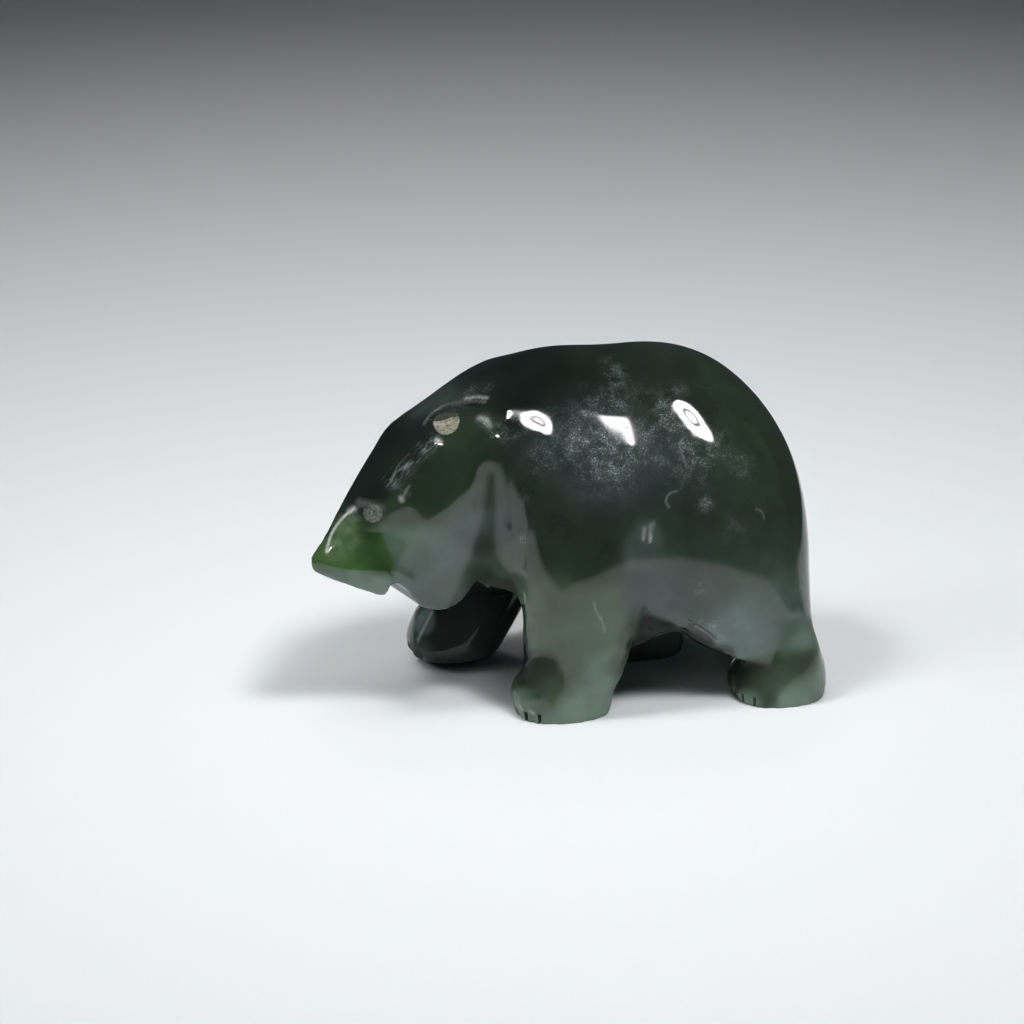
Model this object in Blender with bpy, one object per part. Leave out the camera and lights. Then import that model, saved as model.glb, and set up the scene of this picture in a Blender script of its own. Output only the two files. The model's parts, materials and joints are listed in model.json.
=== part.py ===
"""A bear carved from one piece of dark green jade.

It walks with its right front paw lifted, and its head hangs low and turns a little to its left.
It looks towards -X and +Z is up. The origin is on the ground, under the middle of the figure.
"""

import math

import bmesh
import bpy
import numpy as np
from mathutils import Matrix, Vector

# The figure's length from the nose to the rump, in metres
LENGTH = 0.070
# The figure is drawn in millimetres of a bear of this length, and MM turns those into metres
DRAWN_LENGTH = 68.04
MM = LENGTH / DRAWN_LENGTH

# Torso stations: x, belly height, height of the widest level, back height, half width
TORSO = [
    (-10.6, 30.0, 36.0, 44.4, 4.0),
    (-9.4, 21.0, 32.0, 45.5, 9.2),
    (-8.0, 15.0, 24.0, 46.3, 12.0),
    (-5.0, 11.0, 18.0, 47.2, 13.6),
    (0.0, 7.6, 17.5, 47.2, 14.3),
    (5.0, 5.0, 17.5, 46.6, 15.0),
    (11.0, 7.6, 16.0, 46.9, 14.8),
    (17.0, 8.6, 12.4, 45.2, 14.8),
    (22.5, 8.6, 11.4, 41.3, 14.2),
    (27.5, 8.6, 11.2, 34.9, 12.5),
    (30.5, 9.5, 12.2, 27.6, 9.2),
    (31.6, 12.0, 14.0, 19.0, 1.0),
]

# Chest stations: the same measures, for the neck's base between the shoulders and the head
CHEST = [
    (-16.0, 20.0, 24.0, 30.0, 1.5),
    (-15.2, 17.0, 24.0, 33.0, 6.0),
    (-12.5, 15.4, 24.0, 38.0, 9.0),
    (-8.0, 14.0, 24.0, 42.0, 10.0),
    (-2.0, 13.0, 24.0, 43.0, 11.0),
    (4.0, 14.0, 24.0, 40.0, 6.0),
]

# Head stations, from the nose back to the shoulders: the crown's place ahead of NECK_X, its
# height, the pitch of the section in degrees, the depth and half width of the top's edge, then
# the half width at each of DEPTHS below the crown
NECK_X = -10.0
HEAD_TURN = 20.0
TURN_OVER = 14.0
DEPTHS = (4.0, 8.0, 12.0, 16.0, 19.5)
HEAD = [
    (27.1, 21.7, 52.0, 0.4, 0.3, 1.7, 3.6, 5.5, 6.8, 7.4),
    (26.7, 22.6, 52.0, 0.5, 0.8, 2.2, 4.2, 6.1, 7.4, 8.0),
    (24.5, 25.7, 51.0, 0.5, 1.0, 2.4, 4.5, 6.4, 7.8, 8.3),
    (22.1, 28.9, 49.0, 0.6, 1.4, 2.9, 5.3, 7.1, 8.1, 8.3),
    (19.9, 31.5, 46.5, 0.7, 2.2, 4.2, 6.4, 7.7, 8.1, 8.0),
    (17.7, 33.8, 43.5, 0.8, 3.0, 5.5, 7.4, 8.0, 8.0, 7.8),
    (13.3, 37.7, 38.0, 1.0, 4.4, 6.7, 8.5, 9.0, 9.0, 8.6),
    (8.0, 41.2, 31.0, 1.6, 5.2, 7.4, 8.9, 9.4, 9.4, 9.0),
    (2.0, 44.7, 22.0, 2.4, 6.4, 7.8, 9.1, 9.4, 9.4, 9.0),
    (-4.0, 46.7, 10.0, 3.2, 6.6, 7.4, 9.0, 9.4, 9.4, 9.0),
]
# The outline of the underside in the head's own middle plane: ahead of NECK_X, height
UNDERSIDE = [
    (36.0, 25.0),
    (28.2, 21.6),
    (18.5, 17.4),
    (17.2, 19.6),
    (15.6, 18.2),
    (14.2, 15.6),
    (10.8, 15.0),
    (8.0, 16.0),
    (5.0, 18.6),
    (1.0, 19.0),
    (1.0, 0.0),
    (36.0, 0.0),
]

# Leg stations: height, x of the middle, y of the middle, half length, half width
LEFT_FRONT_LEG = [
    (34.0, -1.5, -5.5, 7.0, 5.5),
    (28.0, -1.4, -7.5, 7.4, 5.6),
    (22.0, -1.0, -9.1, 7.7, 5.3),
    (18.0, -1.0, -9.7, 7.8, 5.3),
    (14.0, -1.0, -9.9, 7.6, 5.4),
    (9.0, -1.4, -9.8, 7.0, 5.3),
    (5.5, -1.8, -9.5, 6.6, 5.2),
    (3.0, -3.2, -9.3, 6.8, 5.2),
    (0.0, -3.2, -9.2, 6.4, 5.1),
    (-1.5, -3.2, -9.2, 6.0, 5.0),
]
RIGHT_FRONT_LEG = [
    (26.0, -5.0, 7.5, 6.0, 4.4),
    (18.0, -6.5, 9.3, 6.2, 4.4),
    (12.0, -9.0, 9.5, 6.2, 4.7),
    (8.0, -11.6, 9.1, 7.0, 5.1),
    (4.5, -13.6, 8.7, 6.8, 5.4),
    (2.6, -14.3, 8.5, 6.3, 5.4),
    (1.6, -14.4, 8.5, 5.4, 4.6),
    (1.2, -14.4, 8.5, 4.4, 3.8),
]
LEFT_HIND_LEG = [
    (32.0, 16.5, -4.0, 5.0, 3.6),
    (22.0, 19.0, -7.4, 7.4, 5.2),
    (14.0, 20.8, -8.8, 8.8, 5.6),
    (9.5, 21.8, -8.9, 8.9, 5.0),
    (7.0, 24.0, -9.1, 7.0, 5.0),
    (5.0, 26.6, -9.3, 5.4, 5.4),
    (2.5, 26.0, -9.5, 6.4, 6.0),
    (0.0, 26.0, -9.6, 6.2, 6.0),
    (-1.5, 26.0, -9.6, 5.8, 5.8),
]
# The left hind foot's side wall rises towards the heel
LEFT_HEEL = [
    (10.2, 28.6, -9.4, 1.4, 3.8),
    (8.4, 28.0, -9.5, 2.7, 5.3),
    (5.0, 27.2, -9.6, 4.6, 5.9),
    (2.5, 26.2, -9.6, 6.1, 6.0),
    (0.0, 26.0, -9.6, 6.2, 6.0),
    (-1.5, 26.0, -9.6, 5.8, 5.8),
]
RIGHT_HIND_LEG = [
    (32.0, 16.0, 4.0, 5.0, 4.0),
    (22.0, 17.4, 8.4, 9.0, 6.2),
    (14.0, 16.0, 9.2, 9.0, 6.2),
    (9.5, 14.0, 9.0, 8.0, 5.9),
    (7.0, 13.0, 8.6, 6.6, 5.8),
    (5.0, 12.4, 8.3, 5.6, 5.5),
    (2.5, 11.0, 8.0, 6.6, 5.4),
    (0.0, 10.8, 8.0, 6.6, 5.4),
    (-1.5, 10.8, 8.0, 6.2, 5.3),
]

# Each ear is a low swelling at the edge of the head's top with a round hollow drilled in it.
# An ear: ahead of NECK_X, side, height of the swelling's centre, its radius
EARS = [
    (8.9, 3.2, 38.6, 2.9),
    (12.0, -3.4, 36.1, 1.9),
]
# A drilled hollow: the middle of its mouth, the way the drill points out, radius, depth
EAR_DRILL = 1.75
EYE_DRILL = 1.1
HOLLOWS = [
    ((-18.2, -5.2, 39.4), (-0.35, -0.82, 0.45), EAR_DRILL, 0.9),
    ((-23.6, 4.0, 36.0), (-0.45, 0.8, 0.4), EAR_DRILL, 0.9),
    ((-27.7, -6.9, 28.8), (-0.32, -0.94, 0.12), EYE_DRILL, 0.45),
    ((-31.3, 2.6, 28.8), (-0.3, 0.94, 0.12), EYE_DRILL, 0.45),
]

# The upright valley between the cheek and the chest, on both sides, is cut with a round rod
VALLEY_X = -13.4
VALLEY_REACH = 11.6
VALLEY_RADIUS = 3.0
VALLEY_TOP = 36.0

# Slits between the toes: width at the skin, depth, height above the sole, and how far each one
# is turned outwards from the paw's front, in degrees
SLIT_WIDTH = 0.7
SLIT_DEPTH = 1.0
SLIT_HEIGHT = 1.7
SLIT_TURNS = (-32.0, -8.0, 16.0, 40.0)

# The legs, and the side that each one's outer face is on
LEGS = [(LEFT_FRONT_LEG, -1), (RIGHT_FRONT_LEG, 1), (LEFT_HIND_LEG, -1), (RIGHT_HIND_LEG, 1)]

# How square the legs are in plan: 2 gives an ellipse
SQUARENESS = 2.6
# How finely the blanks are drawn: sides of a ring and of a drill, steps from one station to the
# next, and pieces of each straight stretch of a head section or of the underside
RING_SIDES = 48
DRILL_SIDES = 24
STEPS = 6
PIECES = 4
# The skin over the blanks: size of its squares, smoothing, and the share of triangles kept
SKIN_SQUARE = 0.5
SMOOTH_STEPS = 8
KEPT_FACES = 0.094
# The drills and the cutters of the underside and the soles reach this far past the figure
BEYOND = 20.0


def clear_scene():
    for old in list(bpy.data.objects):
        bpy.data.objects.remove(old)


def between(rows, steps):
    """Rows of numbers on a smooth curve through the given rows, with steps in each gap."""
    knots = np.array(rows, float)
    knots = np.vstack([2 * knots[0] - knots[1], knots, 2 * knots[-1] - knots[-2]])
    made = []
    for a, b, c, d in zip(knots, knots[1:], knots[2:], knots[3:]):
        for t in np.arange(steps) / steps:
            bend = (2 * a - 5 * b + 4 * c - d) * t**2
            made.append(0.5 * (2 * b + (c - a) * t + bend + (3 * b - 3 * c + d - a) * t**3))
    return made + [knots[-2]]


def ring(low, wide, high, half_width):
    """A closed section as (side, height) pairs: an egg that is widest at the wide level."""
    for k in range(RING_SIDES):
        turn = 2 * math.pi * k / RING_SIDES
        reach = high - wide if math.sin(turn) > 0 else wide - low
        yield half_width * math.cos(turn), wide + reach * math.sin(turn)


def loft(name, rings):
    """A closed solid through rings that have the same number of points."""
    bm = bmesh.new()
    loops = [[bm.verts.new(Vector(p) * MM) for p in points] for points in rings]
    for one, two in zip(loops, loops[1:]):
        for k in range(len(one)):
            n = (k + 1) % len(one)
            bm.faces.new((one[k], one[n], two[n], two[k]))
    bm.faces.new(loops[0])
    bm.faces.new(loops[-1])
    bmesh.ops.recalc_face_normals(bm, faces=bm.faces)
    return linked(name, bm)


def barrel(name, rows):
    """A round body along X, from stations."""
    rings = []
    for x, low, wide, high, half_width in between(rows, STEPS):
        rings.append([(x, side, height) for side, height in ring(low, wide, high, half_width)])
    return loft(name, rings)


def turned(ahead, side, height):
    """A point of the head. Its middle plane bends to the left round an arc, then runs straight."""
    radius = TURN_OVER / math.radians(HEAD_TURN)
    angle = min(max(ahead, 0), TURN_OVER) / radius
    straight = ahead - angle * radius
    x = radius * math.sin(angle) + straight * math.cos(angle)
    y = radius * (1 - math.cos(angle)) + straight * math.sin(angle)
    return (NECK_X - x + side * math.sin(angle), -y - side * math.cos(angle), height)


def head_section(row):
    ahead, height, pitch, edge_depth, edge_width = row[:5]
    tilt = math.radians(pitch)
    corners = [(0.0, 0.0), (edge_width * 0.6, edge_depth * 0.25), (edge_width, edge_depth)]
    corners += list(zip(row[5:], DEPTHS))
    corners += [(row[-1] * 0.6, DEPTHS[-1] + 3.0), (0.0, DEPTHS[-1] + 3.5)]
    half = along(corners)
    outline = half + [(-w, d) for w, d in half[-2:0:-1]]
    return [turned(ahead - d * math.sin(tilt), w, height - d * math.cos(tilt)) for w, d in outline]


def along(corners):
    """Evenly spaced points on the straight stretches from corner to corner."""
    made = []
    for (a1, b1), (a2, b2) in zip(corners, corners[1:]):
        for t in np.arange(PIECES) / PIECES:
            made.append((a1 + (a2 - a1) * t, b1 + (b2 - b1) * t))
    return made + [corners[-1]]


def head():
    block = loft("head", [head_section(row) for row in between(HEAD, STEPS)])
    outline = along(UNDERSIDE + UNDERSIDE[:1])[:-1]
    ends = [[turned(ahead, side, z) for ahead, z in outline] for side in (-BEYOND, BEYOND)]
    return carved(block, [loft("cutter", ends)], "underside")


def squared(value):
    return math.copysign(abs(value) ** (2 / SQUARENESS), value)


def leg(rows):
    rings = []
    turns = [2 * math.pi * k / RING_SIDES for k in range(RING_SIDES)]
    plan = [(squared(math.cos(turn)), squared(math.sin(turn))) for turn in turns]
    for z, x, y, half_length, half_width in between(rows, STEPS):
        rings.append([(x + half_length * c, y + half_width * s, z) for c, s in plan])
    return loft("leg", rings)


def ear(ahead, side, height, radius):
    bm = bmesh.new()
    bmesh.ops.create_icosphere(bm, subdivisions=4, radius=radius * MM)
    bmesh.ops.translate(bm, vec=Vector(turned(ahead, side, height)) * MM, verts=bm.verts)
    return linked("ear", bm)


def rod(name, middle, way, radius, length, sides):
    """A round cutter with its middle at a point and its length along a direction."""
    bm = bmesh.new()
    bmesh.ops.create_cone(
        bm,
        cap_ends=True,
        segments=sides,
        radius1=radius * MM,
        radius2=radius * MM,
        depth=length * MM,
    )
    bmesh.ops.rotate(bm, matrix=way.to_track_quat("Z", "Y").to_matrix(), verts=bm.verts)
    bmesh.ops.translate(bm, vec=middle * MM, verts=bm.verts)
    return linked(name, bm)


def drill(mouth, outward, radius, depth):
    """A round cutter that reaches depth below the middle of its mouth."""
    out = Vector(outward).normalized()
    middle = Vector(mouth) + out * (BEYOND / 2 - depth)
    return rod("drill", middle, out, radius, BEYOND, DRILL_SIDES)


def valleys():
    made = []
    for side in (-1, 1):
        middle = Vector((VALLEY_X, side * VALLEY_REACH, VALLEY_TOP / 2))
        made.append(rod("valley", middle, Vector((0, 0, 1)), VALLEY_RADIUS, VALLEY_TOP, RING_SIDES))
    return made


def slits(foot, outer):
    """Wedges that part the toes of a paw. The foot is a leg station, outer is its outward side."""
    sole, x, y, half_length, half_width = foot
    middle = Vector((x, y, sole))
    made = []
    for turn in SLIT_TURNS:
        c = math.cos(math.radians(turn))
        s = math.sin(math.radians(turn))
        share = (c / half_length) ** SQUARENESS + (abs(s) / half_width) ** SQUARENESS
        out = Vector((-c, outer * s, 0))
        across = Vector((-outer * s, -c, 0)) * SLIT_WIDTH
        skin = middle + out * share ** (-1 / SQUARENESS)
        edge = skin + out * SLIT_DEPTH
        wedge = [skin - out * SLIT_DEPTH, edge + across, edge - across]
        ends = [[p + Vector((0, 0, z)) for p in wedge] for z in (-SLIT_DEPTH, SLIT_HEIGHT)]
        made.append(loft("slit", ends))
    return made


def ground():
    """What the soles are cut flat with."""
    bm = bmesh.new()
    bmesh.ops.create_cube(bm, size=1)
    size = Vector((DRAWN_LENGTH + 2 * BEYOND, DRAWN_LENGTH, BEYOND))
    bmesh.ops.scale(bm, vec=size * MM, verts=bm.verts)
    bmesh.ops.translate(bm, vec=Vector((0, 0, -BEYOND / 2)) * MM, verts=bm.verts)
    return linked("ground", bm)


def linked(name, bm):
    mesh = bpy.data.meshes.new(name)
    bm.to_mesh(mesh)
    bm.free()
    made = bpy.data.objects.new(name, mesh)
    bpy.context.scene.collection.objects.link(made)
    return made


def baked(thing):
    """The object with its modifiers taken into its mesh."""
    graph = bpy.context.evaluated_depsgraph_get()
    mesh = bpy.data.meshes.new_from_object(thing.evaluated_get(graph))
    thing.modifiers.clear()
    thing.data = mesh
    return thing


def carved(thing, cutters, name):
    """Takes the cutters out of the object."""
    group = bpy.data.collections.new(name)
    for cutter in cutters:
        group.objects.link(cutter)
    cut = thing.modifiers.new(name, "BOOLEAN")
    cut.operation = "DIFFERENCE"
    cut.solver = "EXACT"
    cut.operand_type = "COLLECTION"
    cut.collection = group
    baked(thing)
    for cutter in cutters:
        bpy.data.objects.remove(cutter)
    bpy.data.collections.remove(group)
    return thing


def fuse(parts, name):
    """One skin round all the parts."""
    bm = bmesh.new()
    for part in parts:
        bm.from_mesh(part.data)
        bpy.data.objects.remove(part)
    made = linked(name, bm)
    remesh = made.modifiers.new("one skin", "REMESH")
    remesh.mode = "VOXEL"
    remesh.voxel_size = SKIN_SQUARE * MM
    soften = made.modifiers.new("soften", "SMOOTH")
    soften.factor = 0.5
    soften.iterations = SMOOTH_STEPS
    fewer = made.modifiers.new("fewer faces", "DECIMATE")
    fewer.ratio = KEPT_FACES
    return baked(made)


def centre(thing):
    """Moves the mesh so that the origin is under the middle of its box."""
    corners = [Vector(corner) for corner in thing.bound_box]
    low = Vector([min(c[axis] for c in corners) for axis in range(3)])
    high = Vector([max(c[axis] for c in corners) for axis in range(3)])
    middle = (low + high) / 2
    thing.data.transform(Matrix.Translation((-middle.x, -middle.y, 0)))


def jade():
    """Dark green polished stone."""
    material = bpy.data.materials.new("jade")
    material.use_nodes = True
    shader = material.node_tree.nodes["Principled BSDF"]
    shader.inputs["Base Color"].default_value = (0.018, 0.04, 0.022, 1)
    shader.inputs["Roughness"].default_value = 0.15
    shader.inputs["Metallic"].default_value = 0
    return material


def main():
    clear_scene()
    blanks = [barrel("torso", TORSO)]
    blanks += [carved(blank, valleys(), "valleys") for blank in (barrel("chest", CHEST), head())]
    blanks += [ear(*row) for row in EARS]
    blanks += [leg(rows) for rows, outer in LEGS] + [leg(LEFT_HEEL)]
    bear = fuse(blanks, "jade_bear")
    cutters = [ground()]
    cutters += [drill(*row) for row in HOLLOWS]
    for rows, outer in LEGS:
        cutters += slits(rows[-2], outer)
    carved(bear, cutters, "carving")
    centre(bear)
    bear.data.materials.clear()
    bear.data.materials.append(jade())


main()
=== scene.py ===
"""The looks of a small bear carved from one piece of dark green jade.

The CAD solid gives the form. Here it gets a fine polished skin, its drilled eyes and ears, the
worn edges, slits and chips of the carving, the stone's own colour, and painted light: painted
light from the floor low down, painted shade in the hollows, the throat, the folds and on the
paws, painted glints along edges and round the highlights, painted reflections of the floor, and
the painted glow of the thin muzzle. Lengths are in millimetres unless a name ends in _M, and
places seen in the photograph are pixels of its 1024 x 1024 frame, which are looked up on the
skin along the camera's sight lines.
"""

import json
import math

import bmesh
import bpy
import numpy as np
from mathutils import Matrix, Vector, noise
from mathutils.bvhtree import BVHTree


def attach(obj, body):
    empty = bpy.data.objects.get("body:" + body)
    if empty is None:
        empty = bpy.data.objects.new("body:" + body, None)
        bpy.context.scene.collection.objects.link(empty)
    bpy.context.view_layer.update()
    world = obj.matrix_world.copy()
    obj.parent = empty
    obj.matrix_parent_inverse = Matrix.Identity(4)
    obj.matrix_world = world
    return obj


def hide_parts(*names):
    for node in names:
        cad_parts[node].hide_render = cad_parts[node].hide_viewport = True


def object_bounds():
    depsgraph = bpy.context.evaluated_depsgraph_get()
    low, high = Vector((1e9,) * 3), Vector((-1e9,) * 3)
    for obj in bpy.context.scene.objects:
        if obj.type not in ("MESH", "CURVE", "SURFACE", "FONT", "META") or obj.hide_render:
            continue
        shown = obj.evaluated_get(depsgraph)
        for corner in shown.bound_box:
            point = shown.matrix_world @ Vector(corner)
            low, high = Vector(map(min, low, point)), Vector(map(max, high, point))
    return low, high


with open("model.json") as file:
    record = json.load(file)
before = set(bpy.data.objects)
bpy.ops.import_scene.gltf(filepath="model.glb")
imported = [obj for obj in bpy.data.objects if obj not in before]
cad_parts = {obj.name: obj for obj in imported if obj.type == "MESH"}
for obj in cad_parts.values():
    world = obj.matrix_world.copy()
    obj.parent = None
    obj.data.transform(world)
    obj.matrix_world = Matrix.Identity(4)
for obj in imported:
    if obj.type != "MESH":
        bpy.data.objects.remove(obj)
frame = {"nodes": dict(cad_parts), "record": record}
CAD_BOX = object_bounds()

MM = 0.001

# The camera: degrees from square on to the left side, degrees above the ground, the point that
# the middle of the picture looks at, how far off it stands, and its focal length in pixels
CAMERA_TURN = -12.0
CAMERA_RISE = 22.0
CAMERA_AIM = Vector((-4.385, 10.1, 21.1))
CAMERA_REACH = 463.0
FOCAL_PIXELS = 3348.0
PICTURE = 1024
SENSOR = 36.0

# The skin: size of the net's squares, rounds of smoothing, and the height of the band above the
# soles that is smoothed less
SKIN_SQUARE = 0.44
SMOOTH_ROUNDS = 22
SOLE_BAND = 1.4
SOLE_SHARE = 0.12
# How far a point goes to its neighbours' mean in a round, how far it then goes back, and how far
# it goes in a round on the broad forms
ROUND_STEP = 0.5
GIVE_BACK = 0.52
BROAD_STEP = 0.9
# The soles' outlines are evened up to this height, for more rounds
SOLE_EDGE = 0.7
SOLE_ROUNDS = 60
# The broad back and flanks are smoothed for more rounds, past these distances from the head and
# above these heights
BROAD_ROUNDS = 290
BROAD_X = (-9.0, -5.0)
BROAD_Z = (11.0, 17.0)
# Places where the CAD's parts meet that the carver polished into one, how far the smoothing
# reaches, within which share of that it is full, and its rounds
SMOOTHED_SPOTS = [(796, 636)]
SPOT_REACH = 3.0
SPOT_FULL = 0.4
SPOT_ROUNDS = 50
# Rounds of smoothing after the carved places got smaller squares
FINE_ROUNDS = 4
# Rounds that close the CAD's plain hollows before they are drilled finely, and how far past
# their rims those reach
PLUG_ROUNDS = 165
PLUG_REACH = 1.5
# An outline of pixels holds for the skin this near to the place under its middle, and fully
# within this share of that
AREA_REACH = 9.0
AREA_FULL = 0.8
# The skin shows in the photograph where it is turned this much towards the camera, from not at
# all to fully
SEEN_TURN = (0.0, 0.1)
# Steps from one traced pixel to the next
CURVE_STEPS = 5

# Drilled hollows: middle of the mouth, the way it opens, radius, depth
NEAR_EAR = (Vector((-16.6, -5.36, 41.05)), Vector((-0.35, -0.82, 0.45)), 1.75, 0.8)
FAR_EAR = (Vector((-22.59, 4.21, 37.04)), Vector((-0.45, 0.8, 0.4)), 1.80, 0.8)
NEAR_EYE = (Vector((-26.8, -7.0, 29.5)), Vector((-0.32, -0.94, 0.12)), 1.3, 0.35)
FAR_EYE = (Vector((-30.51, 2.77, 29.63)), Vector((-0.3, 0.94, 0.12)), 1.2, 0.35)
HOLLOWS = [NEAR_EAR, FAR_EAR, NEAR_EYE, FAR_EYE]
# The far ear stands out of the head: how wide and how far
EAR_SWELL = (2.4, 0.9)
# The drilled floors are darker towards the top, painted shade under the rim: share left, and where
# it changes, as shares of the radius below the middle. Then the walls' share, darker as painted
# shade, and the height above which the hollows are ears, of a warmer colour.
DRILLED_TOP_SHADE = 0.40
DRILLED_SHADE_FADE = (-0.6, 0.6)
DRILLED_WALL_SHADE = 0.12
EAR_HEIGHT = 34.0
# The drill's sides and length
DRILL_SIDES = 40
DRILL_LENGTH = 8.0
# A place is in a hollow within these shares of its radius and of its depth, and on its floor
# within this share of its depth
HOLLOW_ROUND = 1.01
HOLLOW_HIGH = 2
HOLLOW_FLOOR = 0.2

# Lines of the carving, traced as pixels
EAR_LEDGE = [(424, 424), (430, 416), (437, 410), (447, 404.5), (458, 403), (470, 401.5), (485, 402)]
MUZZLE_EDGE = [(326.5, 552), (331.5, 533.5), (343, 517.5), (354, 508)]
BROW_EDGE = [(354, 508), (368, 494), (383, 482), (401, 470), (419, 456), (435, 441)]
MUZZLE_CREASE = [(370, 524), (376, 541), (384, 557), (389, 570)]
MUZZLE_LIP = [(316, 561), (338, 567), (362, 569.5), (389, 570)]
CHEEK_DROP = [(401.5, 498.5), (404, 493), (409.5, 486.5)]
LEG_EDGE = [(525.5, 478), (527, 520), (527.5, 560), (528, 604)]
LEG_BUMP = [(530, 612), (536, 622), (537, 634), (531, 644)]
HAUNCH_EDGE = [(672, 592), (680, 607), (694, 621), (710, 632), (722, 641)]
NECK_VALLEY = [(487, 452), (484, 480), (485, 510), (484, 545), (479, 572)]
NOSE_BRIDGE = [(376, 466), (354, 496), (338, 522), (324, 546)]
LEG_FOLD = [(634, 650), (636, 628), (639, 612), (645, 605), (654, 614), (668, 619), (682, 628)]
# Slightly rounder stretches of the polished flank, each of which shapes a highlight
SHOULDER_ROUND = [(496, 392), (512, 398), (530, 405), (544, 418), (553, 436), (556, 458)]
FLANK_ROUND = [(596, 392), (605, 418), (613, 443), (621, 470)]
WAIST_ROUND = [(622, 388), (628, 414), (633, 440), (637, 466)]
# Each line's pixels, kind, amount and width, and how far the side runs that a ledge, a bevel or an
# edge slopes down on
LINES = [
    (SHOULDER_ROUND, "ridge", 0.10, 2.6, 0),
    (FLANK_ROUND, "ridge", 0.06, 2.2, 0),
    (WAIST_ROUND, "ridge", 0.06, 1.8, 0),
    (EAR_LEDGE, "ledge", 0.75, 0.22, 2.2),
    (NOSE_BRIDGE, "ridge", 0.32, 2.2, 0),
    (MUZZLE_EDGE, "ridge", 0.04, 0.30, 0),
    (BROW_EDGE, "ridge", 0.06, 0.8, 0),
    (MUZZLE_LIP, "edge", 0.60, 5.0, 2.0),
    (CHEEK_DROP, "groove", 0.12, 0.30, 0),
    (NECK_VALLEY, "groove", 0.35, 2.0, 0),
    (LEG_FOLD, "bevel", 0.9, 1.6, 3.4),
    (LEG_EDGE, "ridge", 0.10, 0.35, 0),
    (LEG_BUMP, "ledge", 0.10, 0.3, 1.2),
    (HAUNCH_EDGE, "bevel", 0.45, 0.9, 2.5),
]
# The share of a line over which its ends fade, for soft and for sharp forms
LONG_FADE = 0.35
SHORT_FADE = 0.12
# A ledge starts this many widths before its line
LEDGE_START = 0.3
# Where the muzzle's side ends, in millimetres from the line between muzzle and cheek
CREASE_SOFT = 0.5

# Lines narrower than this get smaller squares, for so many widths on both sides
BROAD_WIDTH = 1.5
FINE_WIDTHS = 3
# The other parts of the skin that get smaller squares, as outlines of pixels
FINE_AREAS = [
    [(305, 570), (325, 520), (372, 440), (430, 385), (470, 372), (515, 372), (520, 440),
     (535, 470), (536, 610), (500, 600), (480, 590), (440, 618), (400, 600), (380, 600), (330, 585)],
    [(505, 640), (545, 640), (600, 690), (600, 715), (560, 730), (510, 720)],
    [(725, 640), (800, 640), (824, 690), (800, 708), (740, 712), (722, 690)],
    [(405, 590), (450, 605), (450, 655), (420, 672), (400, 640)],
    [(628, 600), (670, 580), (730, 640), (722, 660), (630, 660)],
    [(584, 594), (612, 594), (615, 642), (588, 642)],
    [(658, 486), (684, 486), (684, 512), (658, 512)],
    [(674, 432), (694, 432), (694, 474), (674, 474)],
    [(750, 504), (770, 504), (770, 524), (750, 524)],
]
# How many pixels their edges are soft over, and the share from which a place is inside
FINE_SOFT = 4.0
FINE_SHARE = 0.3

# The dip across the back between shoulders and rump: place, width and depth, and the heights
# where it starts and is full
WAIST = (5.6, 4.5, 0.18)
WAIST_Z = (38.0, 44.0)

# The soles stay flat up to this height
SOLE_FLAT = 0.3
# The nose is drawn back over this length until it ends this far inside the CAD's
NOSE_RUN = 8.0
NOSE_SPARE = 0.02

# The polish's slight unevenness: its size, its height, and the noise's fall, gap and octaves
RIPPLE_SIZE = 3.2
RIPPLE_AMOUNT = 0.012
RIPPLE_NOISE = (1.0, 2.0, 2)
# Edges sharper than this many degrees stay sharp
SHARP_ANGLE = 40

# The thin muzzle, painted with the glow of light shining through it, as an outline of pixels, and
# how many pixels its edge is soft over
MUZZLE_GLOW_PATCH = [
    (310, 562), (322, 540), (333, 524), (346, 512), (362, 522), (377, 527), (386, 545),
    (392, 562), (389, 573), (362, 572), (338, 569), (315, 563),
]
PATCH_SOFT = 1.5
# The pale cloud in the muzzle: pixel, reach, strength
MUZZLE_CLOUD = [
    ((344, 530), 1.6, 1.0),
    ((338, 545), 1.4, 1.0),
    ((352, 522), 1.0, 0.7),
    ((354, 540), 1.2, 0.7),
    ((332, 556), 1.2, 0.5),
]
# Matte places, as outlines of pixels: most of them dull the polish as painted shade, and the heel's
# only takes away stray glints
THROAT_SHADE = [
    (488, 474), (484, 508), (481, 524), (474, 546), (465, 568), (456, 590), (450, 606), (480, 606),
    (526, 603), (525, 580), (508, 570), (497, 554), (495, 528), (495, 495), (494, 476),
]
THROAT_FOOT_SHADE = [
    (474, 562), (498, 562), (510, 573), (525, 581), (526, 602), (480, 606), (452, 606), (458, 590),
    (466, 573),
]
PAW_SHADE = [
    (533, 658), (548, 657), (560, 664), (565, 684), (553, 705), (543, 697), (530, 692), (516, 690),
    (515, 680), (523, 670),
]
HIND_SHADE = [
    (732, 677), (746, 661), (775, 665), (812, 658), (806, 672), (790, 684), (777, 702), (766, 706),
    (750, 698), (736, 690),
]
LEG_HOLLOW_SHADE = [
    (632, 655), (636, 626), (640, 611), (645, 605), (652, 614), (668, 620), (682, 630), (660, 632),
    (645, 642),
]
HEEL = [(782, 624), (806, 616), (817, 640), (817, 658), (798, 664), (782, 656)]
FAR_PAW_SHADE = [
    (412, 610), (440, 596), (500, 596), (520, 606), (508, 640), (482, 664), (440, 668), (412, 655),
]
# Rough places with the amount that they stand up by, how many pixels their edges are soft over,
# the size of the grain, the least share that counts, and the noise's fall, gap and octaves
ROUGH_AREAS = [
    ([(452, 398), (462, 386), (480, 381), (500, 384), (505, 392), (494, 399), (470, 399)], 0.16),
    ([(494, 421), (507, 424), (506, 446), (495, 444)], 0.10),
]
ROUGH_SOFT = 3.0
ROUGH_GRAIN = 0.5
ROUGH_LEAST = 0.01
ROUGH_NOISE = (1.0, 2.0, 3)
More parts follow.
